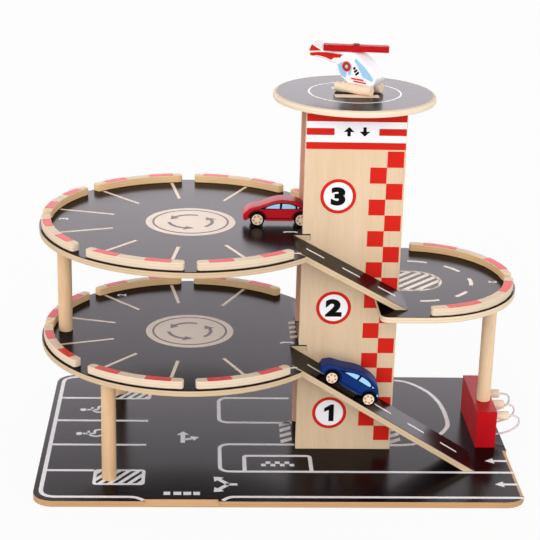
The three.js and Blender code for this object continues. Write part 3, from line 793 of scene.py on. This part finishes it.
# %% Round decks
DECK_CENTRE = (-113, 1)
BAY_LINES = (132.4, 164.8, -163, -130.3, 99, -97.8, 64.8, -64.6)
for deck, level, count in (("two", LEVEL_TWO, "2"), ("three", LEVEL_THREE, "3")):
    pale = flat_print(f"deck_{deck}_lines", level)
    pale.disc(DECK_CENTRE, 56.2)
    for degrees in BAY_LINES:
        pale.stroke([around(DECK_CENTRE, 100, degrees), around(DECK_CENTRE, 172.5, degrees)], 4.2)
    pale.press(cream_ink)
    dark = flat_print(f"deck_{deck}_roundabout", level, Print.FILM)
    dark.ring(DECK_CENTRE, 48.1, 45.5)
    for start in (70, 188, 312):
        dark.ring(DECK_CENTRE, 29.3, 24.9, start, start + 66)
        base, tip = around(DECK_CENTRE, 27.1, start + 66), around(DECK_CENTRE, 26.4, start + 92)
        side = (Vector(base) - Vector(DECK_CENTRE)).normalized() * 7
        dark.fill([Vector(base) + side, Vector(tip), Vector(base) - side])
    dark.press(grey_ink)
    number = flat_print(f"deck_{deck}_number", level)
    number.stroke([(2, -38), (5, -35.5), (16, -35.5), (19, -38)], 3.4)
    number.stroke([(11, -117.5), (19, -116.5)], 3.4)
    number.numeral(count, around(DECK_CENTRE, 159, 178 if deck == "three" else 126), 12, 90)
    number.press(white_ink)
print("round decks printed")

# %% Kerb patches
PATCHES = ((145, 155), (165, 174.5), (98.2, 108.8), (119.6, 129.9), (52.4, 63), (74, 84.8),
           (-171.4, -162), (-151.2, -141.8), (-127.7, -117.2), (-106.4, -96.4), (-82.9, -73.5), (-62.1, -52.1))
TOWER_PATCH = ((29.5, 40),)
SIDE_CENTRE = (171, 0)
for deck, level in (("two", LEVEL_TWO), ("three", LEVEL_THREE)):
    patch = flat_print(f"deck_{deck}_kerb_patches", level + KERB_HEIGHT)
    for start, end in PATCHES + (TOWER_PATCH if deck == "three" else ()):
        patch.ring(DECK_CENTRE, 184.8, 174.2, start, end)
    patch.press(patch_ink, slot="red_paint")
patch = flat_print("side_kerb_patches", SIDE_LEVEL + KERB_HEIGHT)
for start, end in ((54, 76), (8.4, 30), (-32.3, -12.3), (-77.3, -55.6)):
    patch.ring(SIDE_CENTRE, 126.8, 116.2, start, end)
patch.press(patch_ink, slot="red_paint")
print("kerb patches printed")

# %% Side deck, deck two's crossing and the ramps' centre lines
side = flat_print("side_deck_lines", SIDE_LEVEL)
for start, end in ((68, 88), (28, 49), (-13, 7), (-51, -32), (-90, -71)):
    side.ring(SIDE_CENTRE, 77, 72, start, end)
island = [(148, 34.5)] + [around((171, -1), 35.5, degrees) for degrees in range(90, -91, -10)] + [(148, -36.5)]
side.stroke(island, 3.2)
side.stripes(island[::-1], 85.3, -36.5, 34.5, 16.3, 8.2, 66.9)
side.numeral("2", (274, -3), 11, -90)
side.press(deck_ink)

crossing = flat_print("deck_two_crossing", LEVEL_TWO)
for y in (30, 13.5, -2.5, -19):
    crossing.fill([(15.5, y - 3), (24.4, y), (24.4, y + 8), (15.5, y + 5)])
crossing.press(cream_ink)

DASH, DASH_PITCH = 25, 50.8
for name, (head, run, rise, length) in ramp_plane.items():
    middle = 77 if name == "rear_ramp" else -77
    dashes = Print(f"{name}_dashes", head + Y_AXIS * middle, run, rise.cross(run))
    start = 24.0 if name == "lower_ramp" else 16.0
    while start < length - 20:
        dashes.stroke([(start, 0), (min(start + DASH, length - 6), 0)], 4.4)
        start += DASH_PITCH
    dashes.press(white_ink)
print("side deck and ramps printed")

# %% Helipad
PAD_CENTRE = (86.25, 0)
pad = flat_print("helipad_lines", PAD_LEVEL)
pad.fill(box_path(60, 114, -28, -12), box_path(60, 114, 16, 28))
pad.press(cream_ink)
circle = flat_print("helipad_circle", PAD_LEVEL)
circle.ring(PAD_CENTRE, 57.5, 55.3)
circle.press(white_ink)
print("helipad printed")

# %% [markdown]
# ## The tower's front
# The front panel carries a red and white header, a column of red squares and a round sign at each level
# with its number. Where the header has a word, a pair of arrows says that this is the way up and down.

# %% Front panel
red = Print("tower_red", (0, TOWER_FRONT, 0), X_AXIS, Z_AXIS)
white = Print("tower_white", (0, TOWER_FRONT, 0), X_AXIS, Z_AXIS)
black = Print("tower_black", (0, TOWER_FRONT, 0), X_AXIS, Z_AXIS, lift=Print.FILM)
LEFT, RIGHT = 25.8, 146.7
for film, left, right, low, high in (
        (white, LEFT, RIGHT, 434.9, 443.1), (white, LEFT, RIGHT, 417.5, 426.2), (white, 59.4, 113.4, 426.3, 434.8),
        (red, LEFT, RIGHT, 443.2, 452.5), (red, LEFT, 59.3, 426.3, 434.8), (red, 113.5, RIGHT, 426.3, 434.8),
        (red, LEFT, RIGHT, 408.8, 417.4)):
    film.fill(box_path(left, right, low, high))
black.arrow((77, 425), (77, 436.5), 4, 6.5, 6)
black.arrow((96, 436.5), (96, 425), 4, 6.5, 6)
SQUARE = 20.3
for row in range(19):
    high = 406.8 - row * SQUARE
    left = 125.15 if row % 2 == 0 else 104.85
    red.fill(box_path(left, left + SQUARE - 0.1, high - SQUARE, high))
SIGN_X, NUMERAL = 67, 23.5
ONE = [(-0.03, -0.5), (0.25, -0.5), (0.25, 0.5), (0.08, 0.5), (-0.28, 0.27), (-0.28, 0.05), (-0.03, 0.17)]
for count, height in (("3", 349.4), ("2", 203.6), ("1", 59.4)):
    red.ring((SIGN_X, height), 22, 17.9)
    white.disc((SIGN_X, height), 17.8)
    if count == "1":
        black.fill([(SIGN_X + across * NUMERAL, height + up * NUMERAL) for across, up in ONE])
    else:
        black.numeral(count, (SIGN_X, height), NUMERAL, weight=0.06, wide=1.3)
red.press(red_ink, slot="red_paint")
white.press(white_ink)
black.press(black_ink)
print("tower printed")

# %% [markdown]
# ## Turned wheels
# A wheel is turned from birch: a black painted tread and rim, and a bare hub face with six small printed
# petals. The two wheels of an axle are one piece, so one profile is spun round the axle and its rings are
# given tyre, hub or steel. The places come from the model's own wheelsets.

# %% Turning on a lathe


def turned(name, profile, finishes, centre, axis, steps=48):
    """Spins (radius, height, finish) rings about an axis through centre, all in millimetres."""
    side = axis.orthogonal().normalized()
    work = bmesh.new()
    rings = []
    for radius, height, _ in profile:
        middle = Vector(centre) + axis * height
        rings.append(hoop(work, middle, side, axis.cross(side), radius, steps) if radius
                     else [work.verts.new(middle * MM)] * steps)
    skin(work, rings, [finish for _, _, finish in profile[1:]])
    bmesh.ops.recalc_face_normals(work, faces=work.faces)
    made = piece(name, work, finishes)
    made.data.set_sharp_from_angle(angle=math.radians(35))
    return made


hub_birch = wood("hub_birch", (240, 220, 196), (228, 200, 170), Z_AXIS, pores=0.4)
tyre_black = paint("tyre_black", (6, 5, 6), (13, 11, 12), 0.42)
petal_ink = ink("petal_brown", (184, 142, 106), (200, 160, 124))
steel = Finish("axle_steel")
brushed = steel.grain(Y_AXIS, 20, 1500, 3.0)
steel.surface(steel.mix(brushed, (176, 176, 180), (198, 198, 200)), 0.3 + brushed * 0.15, metallic=1.0)
TYRE, HUB, STEEL = 0, 1, 2
WHEEL_RADIUS, WHEEL_FACE = 9, 14.62
half = [(2, 9, STEEL), (6.6, 9, HUB), (8.3, 9, TYRE), (8.8, 9.2, TYRE), (9, 9.8, TYRE), (9, 14.2, TYRE),
        (8.8, 14.8, TYRE), (8.4, 15, TYRE), (7.3, 15, TYRE), (7.1, 14.8, TYRE), (6.9, 14.6, TYRE),
        (3, 14.75, HUB), (1.4, 14.8, HUB), (1.2, 14.95, HUB), (0, 15, HUB)]
other_half = [(radius, -height, finish)
              for (radius, height, _), (_, _, finish) in zip(half, half[1:] + [(0, 0, HUB)])]
axle_profile = other_half[::-1] + half
SIDES = (("near", -1), ("far", 1))


def petals(car, end, centre, forward, body):
    """Six brown petals on both outer faces of a wheelset."""
    for side_name, face in SIDES:
        along = forward * -face
        shapes = Print(f"{car}_{end}_petals_{side_name}", centre + Y_AXIS * (face * WHEEL_FACE), along,
                       (Y_AXIS * face).cross(along))
        for k in range(6):
            way = Vector(around((0, 0), 1, 60 * k + 12))
            side = Vector((-way.y, way.x))
            shapes.fill([way * 1.7, way * 3.3 + side * 1.3, way * 5 + side * 1.6, way * 6.3,
                         way * 5 - side * 1.6, way * 3.3 - side * 1.3])
        shapes.press(petal_ink, body, "wheel")


def middle_of(node):
    low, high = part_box(node)
    return (low + high) / 2 / MM


car_frames = {}
for car in ("red_car", "blue_car"):
    front, rear = middle_of(f"{car}_front_wheels"), middle_of(f"{car}_rear_wheels")
    forward = (rear - front).normalized()
    upright = forward.cross(Y_AXIS)
    upright = upright if upright.z > 0 else -upright
    car_frames[car] = ((front + rear) / 2 - upright * WHEEL_RADIUS, forward, upright)
    for end, centre in (("front", front), ("rear", rear)):
        node = f"{car}_{end}_wheels"
        dress(turned(node + "_turned", axle_profile, [tyre_black, hub_birch, steel.material], centre, Y_AXIS),
              node, "wheel")
        petals(car, end, centre, forward, body_of(node))
print("wheelsets turned:", 4)

# %% [markdown]
# ## Cars
# The bodies are sawn from a block and sprayed. Their sides carry printed windows in a black surround and a
# sill line, and over each wheel a thin black arc that is a painted shadow of the arch. The door's word is left
# out. The model's body keeps its shape, but for the end away from the lamps, which is rounded here. The black
# in its wheel pockets is painted shade.

# %% Car bodies and windows
AXLE, HALF_WIDTH = 27.4, 13.5
SURROUND = [(-24.6, 22.3), (-23.2, 23.6), (-18, 25.3), (-13.3, 27), (-8.5, 28.9), (-4.3, 30.1), (1.2, 30.9),
            (7, 30.9), (12.4, 30.4), (17, 29.3), (20.8, 27.9), (25, 26), (28, 24.4), (26, 22.7), (-20, 22.2)]
PANES = [
    [(-17.4, 23.5), (-13.8, 25.8), (-8.4, 27.9), (-3.9, 29.1), (0.6, 29.6), (0.2, 23.4)],
    [(3.0, 23.4), (3.6, 29.7), (8, 29.6), (13.4, 29.0), (17.6, 27.6), (20.0, 26.0), (19.6, 23.5)],
    [(21.8, 26.2), (25.6, 24.9), (22.6, 23.7)],
]
LAMP = [(32.6, 18.8), (34.9, 17.1), (35.3, 18.2), (33.4, 20.4)]


def ramp_up(value, start, length):
    return min(1.0, max(0.0, (value - start) / length))


def body_rules(origin, forward, upright):
    """Says which faces of a car's body are its wheel pockets, and how its end is rounded."""
    def from_road(point):
        return (point - origin).dot(forward), (point - origin).dot(upright)

    def sort(normal, middle):
        x, z = from_road(middle)
        # Faces in the wheel pockets get the tyres' black as painted shade.
        pocket_in_painted_shade = math.hypot(abs(x) - AXLE, z - WHEEL_RADIUS) < 11
        return 1 if pocket_in_painted_shade and abs(middle.y - origin.y) < HALF_WIDTH - 0.2 else 0

    def reshape(point):
        """At the end away from the lamps the lower half comes forward, the shoulder and the sill go down."""
        x, z = from_road(point)
        end = ramp_up(-x, 38.2, 2)
        out = 2.4 * end * ramp_up(-z, -16, 8)
        down = 1.8 * end if z < 12 else 3.5 * ramp_up(-x, 38.2, 6.8)
        if abs(x) < 17 and z < 9.5:
            down = 2
        return point - forward * out - upright * down
    return sort, reshape


for car, finish, slot in (("red_car", car_red, "red_paint"), ("blue_car", car_blue, "blue_paint")):
    origin, forward, upright = car_frames[car]
    sort, reshape = body_rules(origin, forward, upright)
    softened(f"{car}_body", slot, 0.6, [finish, tyre_black], sort, sharp=40, reshape=reshape)
    for side_name, face in SIDES:
        start = origin + Y_AXIS * (face * HALF_WIDTH)
        dark = Print(f"{car}_surround_{side_name}", start, forward, upright, 0.0, -face)
        dark.fill(SURROUND)
        dark.stroke([(-17.5, 10.8), (15.4, 10.8)], 1.0)
        for x in (-AXLE, AXLE):
            # The black arc over each wheel is a painted shadow line of the arch.
            dark.ring((x, WHEEL_RADIUS), 12.2, 11.1, 14, 166)
        dark.press(black_ink, car)
        pale = Print(f"{car}_panes_{side_name}", start, forward, upright, Print.FILM, -face)
        pale.fill(*PANES, LAMP)
        pale.press(glass_ink, car)
print("cars dressed")

# %% [markdown]
# ## Helicopter
# The body is one painted block on two dowels, with a red rotor that turns on a wooden pin. The prints are a
# plain rescue pattern: blue windows, a red tail, a red ring and a few stripes.

# %% Helicopter
nose = Vector((*around((0, 0), 1, -35), 0))
left_hand = Z_AXIS.cross(nose)
stand = Vector((PAD_CENTRE[0], 6, PAD_LEVEL))
hull_white = paint("hull_white", (250, 248, 250), (242, 238, 242), 0.4)
softened("helicopter_body", "white_paint", 0.5, [hull_white], sharp=36)
skid_birch = wood("skid_birch", (250, 226, 200), (236, 206, 176), nose)
for hand in ("left", "right"):
    softened(f"helicopter_skid_{hand}", "birch", 0.6, [skid_birch])
softened("helicopter_rotor", "red_paint", 0.7, [rotor_red])
pin_birch = wood("pin_birch", (120, 80, 64), (96, 60, 48), Z_AXIS)
softened("helicopter_rotor_pin", "birch", 0.35, [pin_birch])

WINDOWS = [
    [(6.9, 43.6), (4.7, 40.6), (11.3, 32), (17.5, 21.7), (30, 18), (32.2, 20.8), (26.5, 27.6), (19.4, 34.2)],
    [(-18, 32.4), (-12.4, 37.2), (-8, 30), (-5, 24.5), (-5.4, 21.6), (-6.6, 17.6), (-13.2, 20.7)],
    [(-3, 25), (-3.2, 21.8), (1, 22.2), (1.7, 33.8), (0.2, 36.6)],
]
REDS = [
    [(-58.7, 42.2), (-56.7, 38.9), (-50.5, 40.1), (-43.9, 40.3), (-35.6, 39.4), (-27.7, 37.2), (-23.5, 40.5),
     (-15.3, 41.6), (-11.6, 46.1), (-19, 45.9), (-28, 45.8), (-36.1, 45.7), (-47, 44.6)],
    [(-55.8, 53), (-59.5, 44.4), (-41.8, 46.9)],
]
RING = (-5.6, 32)
SLATS = [((4, 29.8), (6.6, 32.5)), ((5.4, 26.3), (9.1, 29.9)), ((7.2, 23.1), (11.7, 27.3))]
HULL_HALF = 12


def hull_print(kind, lift=0.0):
    """A print on the side of the hull that the loop is at."""
    wall = stand + left_hand * (face * HULL_HALF)
    return Print(f"helicopter_{kind}_{side_name}", wall, nose, Z_AXIS, lift, -face)


for side_name, face in SIDES:
    blue = hull_print("windows")
    blue.fill(*WINDOWS)
    blue.press(glass_ink, "helicopter")
    marks = hull_print("red", Print.FILM)
    marks.fill(*REDS)
    marks.ring(RING, 5.9, 2.2)
    marks.stroke([(1.3, 18.4), (18.7, 18)], 1.9)
    marks.stroke([(4.8, 15.4), (22.6, 14.8)], 1.9)
    marks.press(red_ink, "helicopter", "red_paint")
    pale_ring = hull_print("ring", Print.FILM)
    pale_ring.ring(RING, 6.9, 6.1)
    pale_ring.press(ring_ink, "helicopter")
    bull = hull_print("ring_centre", Print.FILM)
    bull.disc(RING, 2.1)
    bull.press(bull_ink, "helicopter")
    slats = hull_print("slats")
    for slat in SLATS:
        slats.stroke(slat, 2.6)
    slats.press(black_ink, "helicopter")
print("helicopter dressed")

# %% [markdown]
# ## Fuel block, nozzles and the finish of the cords
# The block is one piece of painted wood. The cords are fine elastic with a knitted cover, which two crossed
# waves of bump give.

# %% Fuel block
softened("fuel_block", "red_paint", 0.9, [block_paint], segments=3)
knit = Finish("cord_knit")
spot_on_cord = knit.place()
STITCH = 9000
weave = ((knit.dot(spot_on_cord, (0.7, 1, 0.5)) * STITCH).sine()
         * (knit.dot(spot_on_cord, (0.7, -1, 0.5)) * STITCH).sine())
dust = knit.noise(260.0)
knit.surface(knit.mix(dust.between(0.3, 0.75) * 0.5, (222, 214, 218), (204, 194, 200)),
             0.75 + weave * 0.05, bump=(weave, 0.25, 0.06))
nozzle_birch = wood("nozzle_birch", (250, 232, 212), (238, 214, 188), X_AXIS)
for name, cord in cords.items():
    node = f"fuel_nozzle_{name}"
    nozzle = softened(node, "birch", 0.7, [nozzle_birch])
    cord.data.materials.append(knit.material)
    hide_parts(f"fuel_cord_{name}")
    y = NOZZLE_SPOTS[name]
    [p * MM for p in cord_paths[name]]
    body_of(node)
    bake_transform(cord)
print("fuel block dressed")

# %% [markdown]
# ## Helipad
# The disc on the tower is turned, so its rim is round and shows bare plies, and the film covers only the
# flat top. It is turned again here in finer steps than the model's.

# %% Helipad disc
PAD_RADIUS, PAD_ROUND = 100, 4
disc_profile = [(0, 0, 2), (97.5, 0, 2), (99.4, 0.5, 1), (PAD_RADIUS, 1.8, 1), (PAD_RADIUS, 4.2, 1)]
for i in range(1, 8):
    rim = around((PAD_RADIUS - PAD_ROUND, PLY - PAD_ROUND), PAD_ROUND, 90 * i / 7)
    disc_profile.append((*rim, 1))
disc_profile += [(95.7, PLY, 1), (95.5, PLY, 1), (0, PLY, 0)]
dress(turned("helipad_turned", disc_profile, [deck_film, flat_edges[PAD_LEVEL], lower_film],
             (*PAD_CENTRE, PAD_LEVEL - PLY), Z_AXIS, steps=144), "helipad", "laminate")
print("helipad turned")

# %% [markdown]
# ## Studio
# A pale floor under plain soft light, as in a catalogue picture. The white behind the object is the floor's
# and the world's own colour, so that no lamp has to be bright. The laminate mirrors only weakly, so the walls
# that a reflection sees are three to five times whiter than that, and dark high up, like a ceiling.

# %% Floor, world and lamps
floor_work = bmesh.new()
bmesh.ops.create_grid(floor_work, x_segments=8, y_segments=8, size=9.0)
bmesh.ops.translate(floor_work, verts=floor_work.verts, vec=(0, 0, -0.0003))
paper = Finish("floor_paper")
floor = piece("floor", floor_work, [paper.material])
CAMERA_RAY, GLOSSY_RAY, THROUGH_RAY = 0, 3, 6
seen, mirrored_ray, through_ray = (paper.node("LightPath", out=i) for i in (CAMERA_RAY, GLOSSY_RAY, THROUGH_RAY))
cloud = paper.noise(3.0, 2.0)
shade = paper.node("BsdfDiffuse", None,
                   {"Color": paper.mix(cloud * 0.3, (244, 244, 244), (240, 240, 241))})
glow = paper.node("Emission", None, {"Color": (1.0, 1.0, 1.0, 1.0), "Strength": 1.0})
share = (seen + mirrored_ray + through_ray).between(0.0, 1.0) * 0.92
paper.node("OutputMaterial", None, (paper.node("MixShader", None, (share, shade, glow)),))

world = bpy.data.worlds.new("studio")
sky = Finish("studio", world)
seen, mirrored_ray, through_ray = (sky.node("LightPath", out=i) for i in (CAMERA_RAY, GLOSSY_RAY, THROUGH_RAY))
sideways, height = (sky.node("SeparateXYZ", None, (sky.node("TexCoord", out=0),), out=i) for i in (0, 2))
ceiling = (height - sideways.size() * 0.1).between(0.42, 0.466)
mirrored = (3.15 + height.between(0.235, 0.28) * 2.4 - height.between(0.3, 0.37) * 1.3) * (1 - ceiling * 0.97)
soft = sky.node("Background", None, ((1.0, 0.99, 0.98, 1.0), 1.3 - height.between(0.3, 0.7) * 0.8))
hue = sky.mix(seen, (1.0, 0.94, 1.0, 1.0), (1.0, 1.0, 1.0, 1.0))
bright = sky.node("Background", None, {"Color": hue, "Strength": seen + (1 - seen) * mirrored})
which = (seen + mirrored_ray + through_ray).between(0.0, 1.0)
sky.node("OutputWorld", None, (sky.node("MixShader", None, (which, soft, bright)),))
bpy.context.scene.world = world


def distant_light(name, strength, spread, direction, colour=(1, 1, 1)):
    sun = bpy.data.lights.new(name, "SUN")
    sun.energy, sun.angle, sun.color = strength, math.radians(spread), colour
    placed(name, sun).rotation_euler = Vector(direction).to_track_quat("Z", "Y").to_euler()


distant_light("window_light", 0.78, 38, (-0.36, -0.78, 0.5), (1.0, 0.985, 0.96))
distant_light("wall_light", 0.7, 45, (0.15, -0.97, 0.16))
bpy.context.scene.view_settings.view_transform = "Standard"
print("studio lit")
